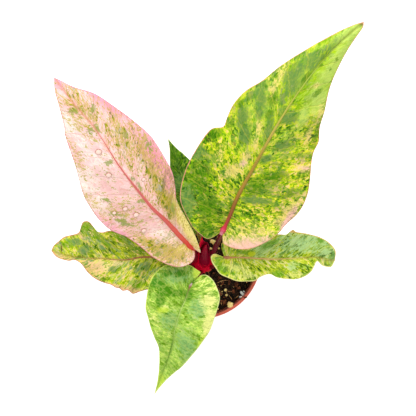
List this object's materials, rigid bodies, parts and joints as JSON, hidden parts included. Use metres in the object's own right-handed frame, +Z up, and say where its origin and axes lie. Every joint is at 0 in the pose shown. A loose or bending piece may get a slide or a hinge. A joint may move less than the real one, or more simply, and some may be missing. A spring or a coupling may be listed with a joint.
{
  "type": "potted anthurium",
  "caption": "Potted anthurium: marbled green, yellow and pink lance-shaped leaves on slim stalks round a red shoot, in a tapered plastic nursery pot filled with soil.",
  "frame": {"origin": "centre of the pot's underside, on the surface it stands on", "axes": "+Z up; +Y points away from a viewer who has the pink leaf at the upper left and the tall leaf at the upper right"},
  "size_m": [0.2749, 0.3286, 0.3004],
  "materials": {
    "pot_plastic": "matt terracotta-coloured moulded plastic",
    "soil": "damp bark and peat mix with pale grains",
    "crown_red": "glossy crimson living tissue",
    "spear_maroon": "satin dark maroon rolled leaf",
    "sheath_red": "glossy crimson sheath",
    "leaf_tall_marbled": "waxy green leaf, marbled lime and cream",
    "leaf_pink_marbled": "waxy pale pink leaf, speckled olive",
    "leaf_right_marbled": "waxy green leaf, mottled lime",
    "leaf_front_marbled": "waxy light green leaf with a pale edge",
    "leaf_left_marbled": "waxy green leaf, mottled lime, with a rosy edge",
    "leaf_back_green": "waxy dark green leaf"
  },
  "bodies": {
    "root": {"pot": "pot_plastic", "potting_soil": "soil", "crown": "crown_red", "new_leaf_spear": "spear_maroon", "shoot_sheath": "sheath_red", "leaf_tall": "leaf_tall_marbled", "leaf_pink": "leaf_pink_marbled", "leaf_right": "leaf_right_marbled", "leaf_front": "leaf_front_marbled", "leaf_left": "leaf_left_marbled", "leaf_back": "leaf_back_green"}
  },
  "joints": []
}
